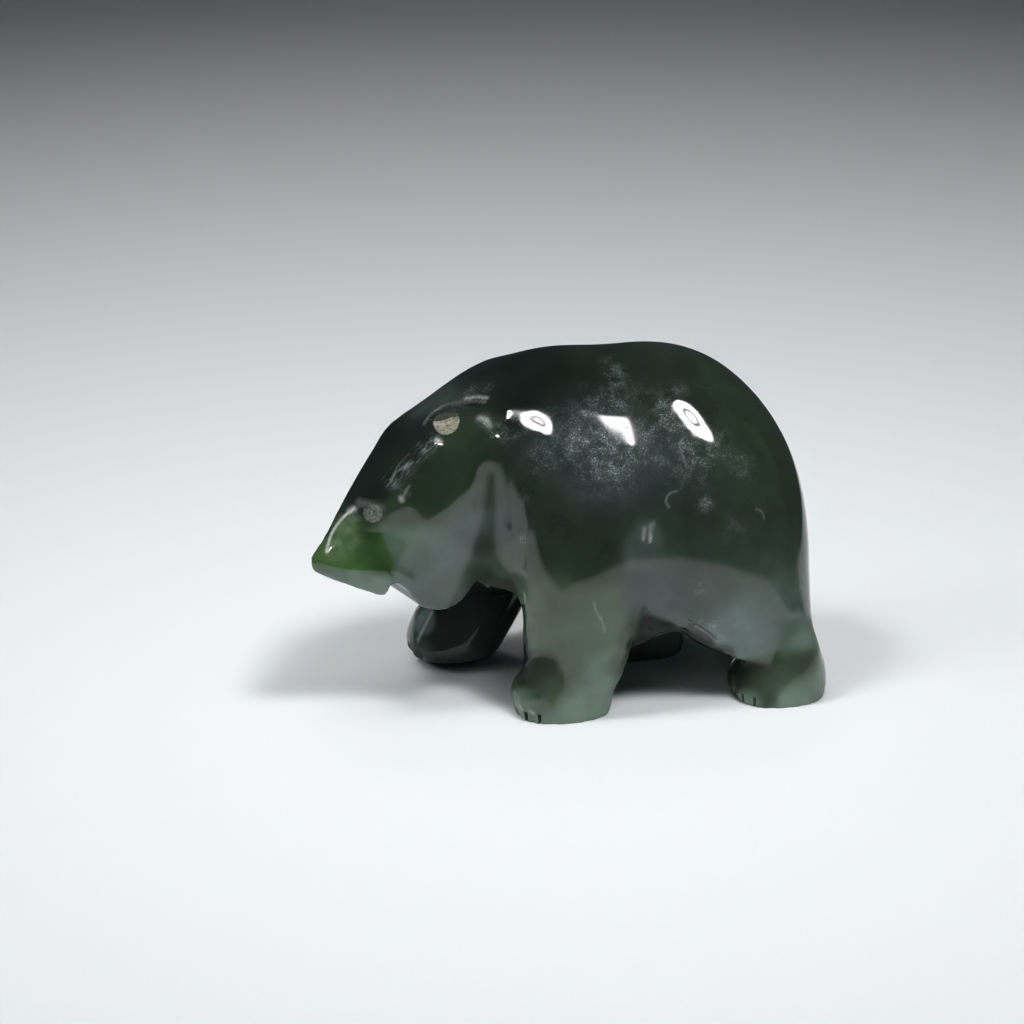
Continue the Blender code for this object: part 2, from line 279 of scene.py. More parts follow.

# The stone's colour at places of the bear, with painted light among it: lighter low on the legs,
# haunch and paws as painted light from the floor, painted shade behind the left front leg, in the
# fold under the belly, in the throat and on the paws, and painted reflections of the floor. Each
# row: pixel, its green value, how cool it is from 0 to 1, and how far it reaches in millimetres.
# Between them it blends.
TONES_AND_PAINTED_LIGHT = [
    # Back and rump
    ((560, 370), 0.009, 0.5, 6),
    ((500, 380), 0.009, 0.6, 6),
    ((610, 360), 0.018, 0.5, 5),
    ((660, 370), 0.024, 0.4, 6),
    ((720, 380), 0.030, 0.2, 6),
    ((770, 440), 0.038, 0.1, 6),
    ((800, 520), 0.032, 0.2, 5),
    # Flank and haunch: lighter low down, painted light from the floor
    ((570, 480), 0.038, 1.0, 5),
    ((590, 430), 0.022, 1.0, 4),
    ((640, 480), 0.038, 1.0, 5),
    ((690, 500), 0.032, 0.6, 5),
    ((740, 510), 0.040, 0.3, 5),
    ((780, 540), 0.060, 0.5, 5),
    ((640, 530), 0.034, 0.5, 4),
    ((700, 590), 0.044, 0.6, 6),
    ((780, 610), 0.094, 0.8, 5),
    ((740, 635), 0.150, 0.9, 3),
    ((660, 600), 0.060, 0.9, 4),
    # Left front leg and paw: lighter low down, painted light from the floor, and the darkest spots
    # on the paw painted shade
    ((540, 500), 0.028, 0.4, 4),
    ((560, 550), 0.027, 0.2, 4),
    ((590, 560), 0.027, 0.1, 3),
    ((580, 620), 0.078, 0.0, 4),
    ((540, 620), 0.085, 0.3, 2.5),
    ((600, 680), 0.140, 0.5, 2.5),
    ((596, 620), 0.080, 0.2, 2.5),
    ((570, 705), 0.185, 0.5, 2.5),
    ((560, 598), 0.050, 0.1, 2.0),
    ((524, 703), 0.120, 0.4, 1.2),
    ((545, 688), 0.040, 0.0, 2.0),
    ((530, 675), 0.018, 0.2, 1.6),
    ((545, 668), 0.018, 0.1, 1.4),
    ((556, 690), 0.060, 0.0, 1.6),
    ((572, 668), 0.080, 0.1, 1.4),
    # Behind the left front leg: painted shade
    ((632, 635), 0.030, 0.1, 1.2),
    ((620, 665), 0.040, 0.1, 1.2),
    # Left hind foot: lighter low down, painted light from the floor, the darkest spots painted
    # shade, and the heel's pale spot a painted reflection of the floor
    ((790, 690), 0.120, 0.4, 3),
    ((792, 700), 0.180, 0.5, 1.4),
    ((755, 675), 0.022, 0.1, 1.6),
    ((775, 675), 0.026, 0.0, 1.6),
    ((798, 665), 0.030, 0.0, 1.6),
    ((765, 695), 0.036, 0.1, 1.2),
    ((752, 701), 0.140, 0.5, 1.0),
    ((796, 634), 0.110, 0.7, 1.5),
    # The tip of the floor's reflection, painted
    ((645, 536), 0.080, 0.9, 1.3),
    ((642, 552), 0.075, 0.9, 1.6),
    # Muzzle: its bright greens are a painted glow of light shining through the thin stone, and the
    # pale cool spots under the lip a painted reflection of the floor
    ((330, 562), 0.115, 0.0, 1.2),
    ((345, 560), 0.110, 0.0, 1.2),
    ((365, 563), 0.075, 0.0, 1.2),
    ((380, 562), 0.055, 0.0, 1.2),
    ((368, 545), 0.055, 0.0, 1.2),
    ((366, 532), 0.036, 0.1, 1.0),
    ((345, 535), 0.100, 0.2, 1.4),
    ((328, 548), 0.090, 0.0, 1.0),
    ((329, 530), 0.030, 0.6, 0.9),
    ((340, 512), 0.020, 0.6, 0.9),
    ((340, 580), 0.140, 0.5, 1.2),
    ((372, 588), 0.200, 0.6, 1.2),
    ((358, 580), 0.170, 0.5, 1.2),
    # Cheek and throat: the dark spots in the throat are painted shade
    ((440, 560), 0.105, 0.9, 4),
    ((420, 562), 0.075, 0.7, 1.6),
    ((450, 592), 0.065, 0.7, 2.2),
    ((402, 545), 0.115, 0.4, 2.2),
    ((400, 515), 0.040, 0.1, 1.5),
    ((430, 490), 0.026, 0.0, 4),
    ((460, 455), 0.030, 0.1, 3),
    ((475, 520), 0.080, 0.9, 2.5),
    ((486, 500), 0.030, 0.5, 1.2),
    ((486, 545), 0.024, 0.5, 1.2),
    ((476, 580), 0.030, 0.5, 1.6),
    ((500, 585), 0.040, 0.5, 1.2),
    ((505, 520), 0.034, 0.8, 2),
    ((505, 560), 0.060, 0.6, 2),
    # Brow and crown
    ((400, 450), 0.010, 0.6, 4),
    ((360, 480), 0.012, 0.6, 3),
    ((425, 425), 0.012, 0.8, 2),
    ((440, 404), 0.040, 0.8, 2.5),
    ((470, 430), 0.032, 0.1, 2.5),
    ((470, 395), 0.012, 0.7, 3),
    # Right front paw: its near-black middle is painted shade
    ((470, 640), 0.008, 0.8, 4),
    ((424, 622), 0.110, 0.9, 0.8),
    ((416, 650), 0.040, 0.8, 1.2),
    # Right hind foot, and the fold under the belly in painted shade
    ((655, 655), 0.090, 0.8, 3),
    ((648, 622), 0.012, 0.5, 0.9),
    ((664, 626), 0.012, 0.5, 0.8),
    ((638, 640), 0.014, 0.4, 0.9),
    ((690, 630), 0.012, 0.5, 0.7),
    ((705, 641), 0.012, 0.5, 0.8),
    ((724, 652), 0.012, 0.5, 0.8),
]
# The colour where the photograph doesn't show: the green value low down and high up, greener low
# down as painted light from the floor, the heights that it changes between, how cool it is, and how
# little it counts beside the places above
REST_GREEN_WITH_PAINTED_BOUNCE = (0.070, 0.028)
REST_Z = (8.0, 24.0)
REST_COOL = 0.4
REST_SHARE = 0.01
TONE_REACH = 6.0

# Fine scuffs and milky flaws in the stone, and round the lamps' highlights painted glints of the
# lamps on the scuffs: pixel, reach, strength
HAZE_AND_PAINTED_GLINTS = [
    ((608, 456), 3.6, 1.3),
    ((630, 452), 2.6, 1.0),
    ((586, 442), 3.0, 0.9),
    ((592, 412), 2.4, 0.7),
    ((624, 402), 2.0, 0.5),
    ((668, 424), 2.2, 1.0),
    ((690, 456), 3.0, 0.9),
    ((716, 448), 2.2, 0.8),
    ((664, 408), 2.0, 0.7),
    ((646, 440), 2.6, 0.6),
    ((516, 432), 1.8, 0.3),
    ((546, 452), 2.6, 0.4),
    ((562, 430), 2.4, 0.3),
    ((742, 467), 1.6, 0.7),
    ((656, 460), 0.9, 1.2),
    ((705, 502), 0.9, 1.4),
    ((735, 530), 1.6, 0.4),
    ((700, 588), 0.8, 0.7),
    ((614, 372), 1.2, 0.7),
    ((618, 386), 1.0, 0.7),
    ((608, 360), 0.9, 0.5),
    ((679, 390), 0.9, 0.6),
    ((712, 625), 0.9, 0.8),
    ((700, 622), 0.7, 0.6),
    ((720, 638), 0.8, 0.6),
    ((523, 540), 0.8, 0.6),
    ((523, 570), 0.8, 0.5),
    ((524, 500), 0.8, 0.4),
    ((603, 620), 1.2, 0.3),
    ((470, 395), 1.6, 0.5),
    ((484, 390), 1.4, 0.4),
    ((500, 432), 1.2, 0.8),
    ((485, 421), 0.8, 1.0),
    ((437, 441), 0.5, 1.2),
    ((407, 468), 1.2, 0.4),
    ((424, 452), 1.0, 0.4),
    ((395, 484), 1.0, 0.4),
    ((405, 492), 0.6, 0.6),
    ((343, 545), 1.3, 0.4),
    ((352, 518), 0.7, 0.8),
    ((452, 598), 1.4, 0.25),
    ((424, 620), 0.6, 1.0),
    ((430, 612), 0.5, 0.8),
    ((517, 712), 0.4, 0.8),
    ((527, 716), 0.4, 0.7),
    ((748, 703), 0.6, 0.5),
]
# Matte lines of painted shade, along the haunch's underside and behind the left front leg: pixels
# along the middle, width, strength
DULL_SHADE_LINES = [
    ([(676, 627), (690, 634), (705, 643), (722, 652)], 0.5, 0.9),
    ([(634, 612), (632, 640), (622, 668), (608, 700)], 1.0, 0.7),
]
# The same for wider matte places, all of them painted shade but the heel: outline, how many pixels
# its edge is soft over, strength
DULL_AND_SHADE_AREAS = [
    (THROAT_SHADE, 3.0, 1.0),
    (THROAT_FOOT_SHADE, 3.0, 0.8),
    (PAW_SHADE, 2.5, 1.0),
    (HIND_SHADE, 2.5, 1.0),
    (LEG_HOLLOW_SHADE, 2.5, 0.9),
    (HEEL, 4.0, 1.0),
    (FAR_PAW_SHADE, 5.0, 0.6),
]
# Worn edges, chips and hairs, and painted glints: the bright line along the muzzle's edge and the
# glints at the ear and on the flank are painted highlights. Pixels along the middle, width, strength
WORN_AND_GLINT_LINES = [
    # Painted highlights: the bright line along the muzzle's edge, and the glint at its top
    (MUZZLE_EDGE, 0.16, 1.0),
    ([(350, 511), (354, 509)], 0.35, 0.8),
    (EAR_LEDGE, 0.14, 0.18),
    # Painted highlight: a pale glint above the ear
    ([(466, 398.5), (476, 397), (487, 398)], 0.22, 0.35),
    ([(409, 486), (405, 493), (401.5, 499)], 0.14, 0.25),
    # Painted highlights: two green glints on the flank
    ([(643, 540), (645, 527)], 0.20, 0.35),
    ([(650, 541), (652, 523)], 0.20, 0.45),
    ([(418, 640), (424, 628), (432, 612)], 0.25, 0.45),
    ([(524.5, 594), (525, 603)], 0.20, 0.5),
    # Painted highlight: a glint below the ear
    ([(437, 440), (440, 442)], 0.30, 0.8),
    ([(479, 418), (486, 420), (490, 426)], 0.35, 0.35),
    ([(401, 498), (402, 500)], 0.30, 0.6),
    ([(520, 706), (522, 709)], 0.25, 0.4),
    ([(530, 711), (533, 713)], 0.25, 0.4),
    ([(696, 626), (706, 632), (716, 641)], 0.30, 0.25),
    ([(360, 503), (370, 504.5), (380, 508)], 0.55, 0.16),
    ([(594, 602), (596, 611), (602, 621), (605, 632)], 0.14, 0.18),
    ([(677, 491), (669, 494), (666, 501), (669, 507)], 0.12, 0.22),
    ([(684, 437), (680, 444), (682, 454), (687, 468)], 0.12, 0.18),
    ([(756, 509), (762, 512), (764, 519)], 0.12, 0.18),
]
# The band of scratches across the brow: pixels along the middle, width, strength
SCRATCHES = [([(391, 482), (407, 466), (422, 451), (436, 441)], 0.8, 1.0)]

# What the toe slits take: their number, width at the skin, depth, height above the sole, and how
# much bigger than that their wedges are, in depth, width and height
SLIT_COUNT = 5
SLIT_WIDTH = 0.34
SLIT_DEPTH = 0.4
SLIT_HEIGHT = 1.0
WEDGE_SPARE = (4 / 3, 1.1547, 2)
# The first and the last slit's turn from the paw's front, in degrees outwards
SLIT_FIRST = -20.0
SLIT_LAST = 48.0
# The raised paw's middle, and how far above a sole the paw's front is traced, at so many spots
RAISED_PAW = Vector((-13.2, 8.9, 2.6))
SLIT_TRACE = 0.5
SLIT_SPOTS = 20


def sight():
    """The camera's place, and its right, up and back directions."""
    turn = math.radians(CAMERA_TURN)
    rise = math.radians(CAMERA_RISE)
    flat = math.cos(rise)
    back = Vector((math.sin(turn) * flat, -math.cos(turn) * flat, math.sin(rise)))
    right = Vector((math.cos(turn), math.sin(turn), 0))
    return CAMERA_AIM + back * CAMERA_REACH, right, back.cross(right), back


def add_camera():
    eye, right, up, back = sight()
    data = bpy.data.cameras.new("photo_camera")
    data.sensor_width = SENSOR
    data.lens = FOCAL_PIXELS / PICTURE * SENSOR
    data.clip_start = 0.01
    camera = bpy.data.objects.new("photo_camera", data)
    turned = Matrix((right, up, back)).transposed()
    camera.matrix_world = Matrix.Translation(eye * MM) @ turned.to_4x4()
    bpy.context.scene.collection.objects.link(camera)
    bpy.context.scene.camera = camera


# Meshes


def linked(name, mesh):
    made = bpy.data.objects.new(name, mesh)
    bpy.context.scene.collection.objects.link(made)
    return made


def from_bmesh(name, bm):
    mesh = bpy.data.meshes.new(name)
    bm.to_mesh(mesh)
    bm.free()
    return linked(name, mesh)


def plain_mesh(thing):
    """The object's mesh with its modifiers taken in."""
    graph = bpy.context.evaluated_depsgraph_get()
    mesh = bpy.data.meshes.new_from_object(thing.evaluated_get(graph))
    thing.modifiers.clear()
    thing.data = mesh
    return thing


def fine_copy(node):
    """A closed copy of a CAD node, remade as a net of small squares."""
    bm = bmesh.new()
    bm.from_mesh(frame["nodes"][node].data)
    bmesh.ops.remove_doubles(bm, verts=bm.verts, dist=0.001 * MM)
    copy = from_bmesh("carved_bear", bm)
    remesh = copy.modifiers.new("net", "REMESH")
    remesh.mode = "VOXEL"
    remesh.voxel_size = SKIN_SQUARE * MM
    return plain_mesh(copy)


def smooth_step(values, start, end):
    """0 before start, 1 past end, and smooth between."""
    t = np.clip((values - start) / (end - start), 0, 1)
    return t * t * (3 - 2 * t)


def bell(off, width):
    """1 in the middle, and softly down to 0 over about two widths."""
    return np.exp(-((off / width) ** 2))


def keep(mesh, name, values, domain="POINT"):
    """Keeps a value for each point or face as an attribute that the material reads."""
    entry = mesh.attributes.new(name, "FLOAT", domain)
    entry.data.foreach_set("value", values.astype(np.float32))


def curve(corners, steps=CURVE_STEPS):
    """Points on a smooth curve through the corners."""
    knots = np.array(corners, float)
    knots = np.vstack([2 * knots[0] - knots[1], knots, 2 * knots[-1] - knots[-2]])
    made = []
    for a, b, c, d in zip(knots, knots[1:], knots[2:], knots[3:]):
        for t in np.arange(steps) / steps:
            bend = (2 * a - 5 * b + 4 * c - d) * t**2
            made.append(0.5 * (2 * b + (c - a) * t + bend + (3 * b - 3 * c + d - a) * t**3))
    return made + [knots[-2]]


class Skin:
    """The points of a mesh in millimetres, with their neighbours and the way they face."""

    def __init__(self, thing):
        self.mesh = thing.data
        points = np.empty(len(self.mesh.vertices) * 3, np.float32)
        self.mesh.vertices.foreach_get("co", points)
        self.points = points.reshape(-1, 3).astype(float) / MM
        edges = np.empty(len(self.mesh.edges) * 2, np.int32)
        self.mesh.edges.foreach_get("vertices", edges)
        self.ends = edges.reshape(-1, 2)
        self.count = np.bincount(self.ends.ravel(), minlength=len(self.points))
        self.look()

    def look(self):
        """Notes the way each point faces, its pixel in the photograph, and its depth there."""
        self.write()
        normals = np.empty(len(self.points) * 3, np.float32)
        self.mesh.vertex_normals.foreach_get("vector", normals)
        self.facing = normals.reshape(-1, 3).astype(float)
        eye, right, up, back = (np.array(part) for part in sight())
        off = self.points - eye
        self.depth = -off @ back
        scale = FOCAL_PIXELS / self.depth
        self.pixels = np.column_stack([off @ right * scale, -off @ up * scale]) + PICTURE / 2
        self.towards = smooth_step(self.facing @ back, *SEEN_TURN)

    def spread(self, values, steps, share):
        """The values drawn towards their neighbours' mean, one round for each step."""
        values = values.copy()
        size = len(values)
        one, two = self.ends[(share > 0)[self.ends].any(axis=1)].T
        for step in steps:
            for column in values.T:
                total = np.bincount(one, column[two], size) + np.bincount(two, column[one], size)
                column += (total / self.count - column) * share * step
        return values

    def relax(self, rounds, share, give=0.0):
        """Smooths the points, and after each round gives back the size that this took away."""
        steps = (ROUND_STEP, -give) if give else (ROUND_STEP,)
        self.points = self.spread(self.points, steps * rounds, share)

    def flatten(self, rounds, share):
        """Smooths away waves that are longer than the squares, and keeps the broad form."""
        steps = (BROAD_STEP,) * rounds
        flat = self.spread(self.points, steps, share)
        self.points = flat + self.spread(self.points - flat, steps, share)

    def away(self, place):
        """Each point's distance from a place."""
        return np.linalg.norm(self.points - np.array(place), axis=1)

    def write(self):
        self.mesh.vertices.foreach_set("co", (self.points * MM).astype(np.float32).ravel())
        self.mesh.update()


class Surface:
    """The smooth skin that lines and outlines are looked up on."""

    def __init__(self, skin):
        faces = [tuple(face.vertices) for face in skin.mesh.polygons]
        self.tree = BVHTree.FromPolygons(skin.points.tolist(), faces)
        self.eye, self.right, self.up, self.back = sight()

    def seen(self, pixel):
        """The place under a pixel of the photograph, and the way the skin faces there."""
        u, v = pixel
        across = self.right * (u - PICTURE / 2) - self.up * (v - PICTURE / 2)
        way = across - self.back * FOCAL_PIXELS
        place, normal, face, reach = self.tree.ray_cast(self.eye, way.normalized())
        if place is None:
            raise ValueError(f"no skin under pixel {u}, {v}")
        return place, normal

    def depth(self, pixel):
        return (self.eye - self.seen(pixel)[0]).dot(self.back)


class Line:
    """A line on the skin: places, and the way the skin faces at each."""

    def __init__(self, spots):
        self.places = np.array([spot[0] for spot in spots])
        self.facing = np.array([spot[1] for spot in spots])

    def measure(self, points):
        """Points' distance from the line, the side they lie on, and their place along it."""
        far = np.full(len(points), np.inf)
        side = np.zeros(len(points))
        along = np.zeros(len(points))
        for k, start in enumerate(self.places[:-1]):
            run = self.places[k + 1] - start
            off = points - start
            t = np.clip(off @ run / (run @ run), 0, 1)
            gap = off - t[:, None] * run
            reach = np.sqrt((gap**2).sum(1))
            near = reach < far
            far[near] = reach[near]
            side[near] = np.sign(gap @ np.cross(self.facing[k], run))[near]
            along[near] = (k + t)[near] / (len(self.places) - 1)
        return far, side, along


def traced(surface, pixels):
    return Line([surface.seen(pixel) for pixel in curve(pixels)])


def area(skin, surface, outline, soft):
    """1 for the points well inside an outline of pixels, 0 outside, soft pixels between."""
    corners = np.array(curve(outline + outline[:1]))
    far = np.full(len(skin.pixels), np.inf)
    inside = np.zeros(len(skin.pixels), bool)
    for start, end in zip(corners, corners[1:]):
        run = end - start
        off = skin.pixels - start
        t = np.clip(off @ run / (run @ run), 0, 1)
        gap = off - t[:, None] * run
        far = np.minimum(far, np.sqrt((gap**2).sum(1)))
        if run[1]:
            crosses = (start[1] > skin.pixels[:, 1]) != (end[1] > skin.pixels[:, 1])
            inside ^= crosses & (off[:, 0] < off[:, 1] * run[0] / run[1])
    depth = surface.depth(np.mean(outline, axis=0))
    near = smooth_step(-abs(skin.depth - depth), -AREA_REACH, -AREA_REACH * AREA_FULL)
    return smooth_step(np.where(inside, far, -far), -soft, soft) * near * skin.towards


def smooth_soles(skin):
    """Evens the outlines of the soles, and leaves their points at their heights."""
    height = skin.points[:, 2].copy()
    low = height < SOLE_EDGE
    skin.relax(SOLE_ROUNDS, low * 1.0, give=GIVE_BACK)
    skin.points[low, 2] = height[low]


def smooth_skin(skin):
    """Polishes the net: everywhere, then the soles' outlines, the broad forms and the spots."""
    height = skin.points[:, 2]
    share = SOLE_SHARE + (1 - SOLE_SHARE) * smooth_step(height, 0.0, SOLE_BAND)
    share[height < SKIN_SQUARE / 2] = 0.0
    skin.relax(SMOOTH_ROUNDS, share, give=GIVE_BACK)
    smooth_soles(skin)
    broad = smooth_step(skin.points[:, 0], *BROAD_X) * smooth_step(height, *BROAD_Z)
    skin.flatten(BROAD_ROUNDS, broad)
    skin.look()
    for pixel in SMOOTHED_SPOTS:
        off = skin.away(Surface(skin).seen(pixel)[0])
        skin.relax(SPOT_ROUNDS, smooth_step(-off, -SPOT_REACH, -SPOT_FULL * SPOT_REACH))
    plugs = np.zeros(len(skin.points))
    for mouth, way, radius, depth in HOLLOWS:
        off = skin.away(mouth)
        plugs = np.maximum(plugs, 1 - smooth_step(off, radius, radius + PLUG_REACH))
    skin.relax(PLUG_ROUNDS, plugs)
    mouth, way, radius, depth = FAR_EAR
    width, height = EAR_SWELL
    skin.points += np.outer(height * bell(skin.away(mouth), width), np.array(way.normalized()))
    skin.look()


def finer_places(skin, surface):
    """Which points get smaller squares: those of the fine areas and near the narrow lines."""
    fine = np.zeros(len(skin.points))
    for outline in FINE_AREAS:
        fine = np.maximum(fine, area(skin, surface, outline, FINE_SOFT))
    for pixels, kind, amount, width, run in LINES:
        if width < BROAD_WIDTH:
            far, side, along = traced(surface, pixels).measure(skin.points)
            fine = np.maximum(fine, far < max(FINE_WIDTHS * width, run))
    return fine > FINE_SHARE


def smaller_squares(bear, chosen):
    """Halves the squares whose corners are all chosen."""
    bm = bmesh.new()
    bm.from_mesh(bear.data)
    bm.verts.ensure_lookup_table()
    edges = set()
    for face in bm.faces:
        if all(chosen[corner.index] for corner in face.verts):
            edges.update(face.edges)
    edges = sorted(edges, key=lambda edge: edge.index)
    bmesh.ops.subdivide_edges(bm, edges=edges, cuts=1, use_grid_fill=True)
    bm.to_mesh(bear.data)
    bm.free()
    skin = Skin(bear)
    share = np.ones(len(skin.points))
    share[skin.points[:, 2] < SOLE_BAND] = 0.0
    skin.relax(FINE_ROUNDS, share, give=GIVE_BACK)
    skin.look()
    return skin


def carve_lines(skin, surface):
    """How far the traced lines push each point: ridges, grooves, ledges, bevels and edges."""
    push = np.zeros(len(skin.points))
    for pixels, kind, amount, width, run in LINES:
        far, side, along = traced(surface, pixels).measure(skin.points)
        fade = LONG_FADE if kind in ("ridge", "groove") else SHORT_FADE
        ends = smooth_step(along, 0.0, fade) * smooth_step(-along, -1.0, fade - 1.0)
        if kind == "edge":
            crest = 1 - far / np.where(side > 0, width, run)
            off, beyond, along = traced(surface, MUZZLE_CREASE).measure(skin.points)
            kept = smooth_step(-beyond * off, -CREASE_SOFT, CREASE_SOFT)
            push += amount * np.maximum(crest, 0) * kept * skin.towards
        elif kind == "bevel":
            below = np.where(side < 0, np.minimum(far / width, 1), 0)
            below *= smooth_step(-far, -run, -width)
            push -= amount * below * ends * skin.towards
        elif kind == "ledge":
            below = smooth_step(-far * side, -LEDGE_START * width, width)
            push -= amount * below * bell(far, run) * ends
        else:
            sign = 1 if kind == "ridge" else -1
            push += sign * amount * bell(far, width) * ends
    return push


def ripples(skin):
    """The slight unevenness of a surface polished by hand."""
    push = [noise.fractal(Vector(point) / RIPPLE_SIZE, *RIPPLE_NOISE) for point in skin.points]
    return np.array(push) * RIPPLE_AMOUNT


def waist(skin):
    """The dip across the back."""
    place, width, depth = WAIST
    off = skin.points[:, 0] - place
    return -depth * bell(off, width) * smooth_step(skin.points[:, 2], *WAIST_Z)


def rough(skin, mask, amount):
    """A broken surface where the mask is set."""
    push = np.zeros(len(skin.points))
    for k in np.nonzero(mask > ROUGH_LEAST)[0]:
        push[k] = noise.fractal(Vector(skin.points[k]) / ROUGH_GRAIN, *ROUGH_NOISE)
    return push * mask * amount


def carve_skin(skin, surface):
    """Pushes the skin in and out, except at the soles."""
    push = carve_lines(skin, surface) + ripples(skin) + waist(skin)
    for outline, amount in ROUGH_AREAS:
        push += rough(skin, area(skin, surface, outline, ROUGH_SOFT), amount)
    push *= smooth_step(skin.points[:, 2], 0.0, SOLE_FLAT)
    skin.points += skin.facing * push[:, None]


def keep_in_box(skin):
    """Draws the nose back, and keeps all of the skin inside the CAD's box."""
    low = np.array(CAD_BOX[0]) / MM
    high = np.array(CAD_BOX[1]) / MM
    over = max(low[0] - skin.points[:, 0].min(), 0) + NOSE_SPARE
    skin.points[:, 0] += over * smooth_step(-skin.points[:, 0], -low[0] - NOSE_RUN, -low[0])
    skin.points = np.clip(skin.points, low, high)


def drill(mouth, way, radius, depth):
    """A round cutter that leaves a hollow of a depth."""
    bm = bmesh.new()
    bmesh.ops.create_cone(
        bm,
        cap_ends=True,
        segments=DRILL_SIDES,
        radius1=radius * MM,
        radius2=radius * MM,
        depth=DRILL_LENGTH * MM,
    )
    out = way.normalized()
    middle = mouth + out * (DRILL_LENGTH / 2 - depth)
    bmesh.ops.rotate(bm, matrix=out.to_track_quat("Z", "Y").to_matrix(), verts=bm.verts)
    bmesh.ops.translate(bm, vec=middle * MM, verts=bm.verts)
    return from_bmesh("drill", bm)


def carved(thing, cutters):
    """Takes the cutters out of the object."""
    group = bpy.data.collections.new("cutters")
    for cutter in cutters:
        group.objects.link(cutter)
    cut = thing.modifiers.new("carve", "BOOLEAN")
    cut.operation = "DIFFERENCE"
    cut.solver = "MANIFOLD"
    cut.operand_type = "COLLECTION"
    cut.collection = group
    plain_mesh(thing)
    for cutter in cutters:
        bpy.data.objects.remove(cutter)
    bpy.data.collections.remove(group)


# Node trees


class Value:
    """A node's output. Sums with it add Math nodes."""

    def __init__(self, net, socket):
        self.net = net
        self.socket = socket

    def math(self, operation, one, two):
        return self.net.node("ShaderNodeMath", dict(operation=operation), {0: one, 1: two})

    def __add__(self, other):
        return self.math("ADD", self, other)

    def __sub__(self, other):
        return self.math("SUBTRACT", self, other)

    def __rsub__(self, other):
        return self.math("SUBTRACT", other, self)

    def __mul__(self, other):
        return self.math("MULTIPLY", self, other)

    __radd__ = __add__
    __rmul__ = __mul__

    def __gt__(self, other):
        return self.math("GREATER_THAN", self, other)

    def high(self, other):
        return self.math("MAXIMUM", self, other)

    def step(self, start, end):
        """0 before start, 1 past end, and smooth between."""
        settings = dict(interpolation_type="SMOOTHSTEP")
        ends = {"Value": self, "From Min": start, "From Max": end}
        return self.net.node("ShaderNodeMapRange", settings, ends)


class Net:
    """A tree of nodes, for a material or for geometry."""

    def __init__(self, tree):
        self.tree = tree
        tree.nodes.clear()

    def node(self, kind, settings=(), sockets=(), out=0):
        """Adds a node, sets its settings, then its sockets, and returns one of its outputs."""
        made = self.tree.nodes.new(kind)
        for key, value in dict(settings).items():
            setattr(made, key, value)
        for key, value in dict(sockets).items():
            entry = made.inputs[key]
            if isinstance(value, Value):
                self.tree.links.new(value.socket, entry)
            else:
                entry.default_value = value
        return Value(self, made.outputs[out]) if len(made.outputs) else made

    def mix(self, share, one, two):
        """A colour between two others."""
        return self.node("ShaderNodeMix", dict(data_type="RGBA"), {0: share, 6: one, 7: two}, out=2)

    def scaled(self, colour, share):
        """A colour times a number."""
        sockets = {"Vector": colour, "Scale": share}
        return self.node("ShaderNodeVectorMath", dict(operation="SCALE"), sockets)

    def pattern(self, place, size, detail, rough, start, end):
        """Noise with patches of a size in millimetres, from 0 where it starts to 1 at its end."""
        sockets = {"Vector": place, "Scale": 1 / (size * MM), "Detail": detail, "Roughness": rough}
        return self.node("ShaderNodeTexNoise", {}, sockets).step(start, end)

    def turned(self, place, turn, stretch, kind="POINT"):
        """The place turned and stretched, or for the kind TEXTURE seen in such a frame."""
        sockets = {"Vector": place, "Rotation": turn, "Scale": stretch}
        return self.node("ShaderNodeMapping", dict(vector_type=kind), sockets)

    def attribute(self, name):
        return self.node("ShaderNodeAttribute", dict(attribute_name=name), out="Fac")


# The toe slits


def slit_tree():
    """Geometry nodes that stand wedges along a line, side by side, as cutters for toe slits."""
    tree = bpy.data.node_groups.new("toe_slits", "GeometryNodeTree")
    sockets = [("Paw Front", "Geometry"), ("Count", "Int")]
    sockets += [(name, "Float") for name in ("Width", "Depth", "Height")]
    for name, kind in sockets:
        tree.interface.new_socket(name, in_out="INPUT", socket_type="NodeSocket" + kind)
    tree.interface.new_socket("Cutters", in_out="OUTPUT", socket_type="NodeSocketGeometry")
    net = Net(tree)
    given = tree.nodes.new("NodeGroupInput")
    front, count, width, depth, height = [Value(net, socket) for socket in given.outputs[:5]]
    line = net.node("GeometryNodeMeshToCurve", {}, {"Mesh": front})
    spaced = {"Curve": line, "Count": count}
    points = net.node("GeometryNodeCurveToPoints", dict(mode="COUNT"), spaced)
    tangent = Value(net, points.socket.node.outputs["Tangent"])
    aim = dict(axis="X", pivot_axis="Z")
    turn = net.node("FunctionNodeAlignRotationToVector", aim, {"Vector": tangent})
    three_sided = {"Vertices": 3, "Radius": 1.0, "Depth": 1.0}
    prism = net.node("GeometryNodeMeshCylinder", {}, three_sided)
    deeper, wider, higher = WEDGE_SPARE
    size = {0: depth * deeper, 1: width * wider, 2: height * higher}
    size = net.node("ShaderNodeCombineXYZ", {}, size)
    wedge = net.node("GeometryNodeTransform", {}, {"Geometry": prism, "Scale": size})
    upright = {"Geometry": wedge, "Rotation": (0, 0, -math.pi / 2)}
    upright = net.node("GeometryNodeTransform", {}, upright)
    placed = {"Points": points, "Instance": upright, "Rotation": turn}
    wedges = net.node("GeometryNodeInstanceOnPoints", {}, placed)
    real = net.node("GeometryNodeRealizeInstances", {}, {"Geometry": wedges})
    done = net.node("GeometryNodeSetMaterial", {}, {"Geometry": real})
    net.node("NodeGroupOutput", {}, {"Cutters": done})
    return tree


